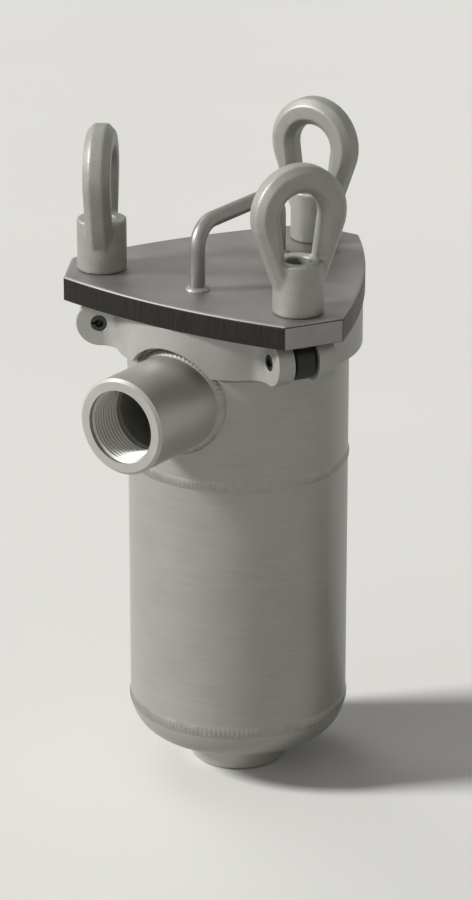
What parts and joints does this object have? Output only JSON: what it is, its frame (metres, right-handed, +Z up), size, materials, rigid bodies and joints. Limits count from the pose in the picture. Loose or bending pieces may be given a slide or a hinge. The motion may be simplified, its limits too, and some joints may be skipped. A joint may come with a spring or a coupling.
{
  "type": "bag filter housing",
  "caption": "Upright bag filter housing: side inlet, bottom outlet, lift-out strainer basket with bag, and a three-cornered cover held by swing bolts and eye nuts.",
  "frame": {"origin": "centre of the outlet coupling's lower face", "axes": "+Z up along the vessel's axis, -Y out of the inlet, +X to the right of the inlet's mirror plane"},
  "size_m": [0.1684, 0.1902, 0.3463],
  "materials": {
    "cast_head": "blasted stainless casting",
    "shell": "satin stainless pipe",
    "coupling": "satin stainless forging",
    "weld": "cleaned weld bead",
    "seal_rubber": "matt",
    "black_bolt": "black oxide",
    "pin_steel": "black spring steel",
    "basket_band": "satin stainless",
    "basket_mesh": "perforated stainless",
    "bail_strap": "satin stainless strap",
    "bag_steel": "spring steel",
    "bag_felt": "needle felt",
    "cover_steel": "dull stainless plate, darker cut edges",
    "handle_rod": "dull stainless rod",
    "nut_casting": "zinc-plated casting"
  },
  "bodies": {
    "housing": {"head_ring": "cast_head", "upper_shell": "shell", "lower_shell": "shell", "bottom_head": "shell", "basket_seat": "shell", "inlet_coupling": "coupling", "outlet_coupling": "coupling", "girth_welds": "weld", "ring_weld": "weld", "inlet_weld": "weld", "outlet_weld": "weld", "cover_seal": "seal_rubber", "clevis_pins": "pin_steel", "swing_bolt_1": "black_bolt", "swing_bolt_2": "black_bolt", "swing_bolt_3": "black_bolt"},
    "basket": {"basket_rim": "basket_band", "basket_screen": "basket_mesh", "basket_bottom": "basket_mesh", "bail_lugs": "basket_band", "bail_rivets": "bail_strap", "bag_ring": "bag_steel", "filter_bag": "bag_felt"},
    "bail": {"bail": "bail_strap"},
    "cover": {"cover_plate": "cover_steel", "cover_handle": "handle_rod", "handle_welds": "weld"},
    "eye_nut_1": {"eye_nut_1": "nut_casting"},
    "eye_nut_2": {"eye_nut_2": "nut_casting"},
    "eye_nut_3": {"eye_nut_3": "nut_casting"}
  },
  "joints": [
    {"name": "basket_lift", "type": "slide", "parent": "housing", "child": "basket", "axis": [0, 0, 1], "range_m": [0, 0.286]},
    {"name": "bail_swing", "type": "hinge", "parent": "basket", "child": "bail", "pos_m": [0, 0, 0.19257], "axis": [1, 0, 0], "range_deg": [-38, 38]},
    {"name": "cover_lift", "type": "slide", "parent": "basket", "child": "cover", "axis": [0, 0, 1], "range_m": [0, 0.08]},
    {"name": "nut_lift_1", "type": "slide", "parent": "cover", "child": "eye_nut_1", "axis": [0, 0, 1], "range_m": [0, 0.078]},
    {"name": "nut_lift_2", "type": "slide", "parent": "cover", "child": "eye_nut_2", "axis": [0, 0, 1], "range_m": [0, 0.078]},
    {"name": "nut_lift_3", "type": "slide", "parent": "cover", "child": "eye_nut_3", "axis": [0, 0, 1], "range_m": [0, 0.078]}
  ]
}
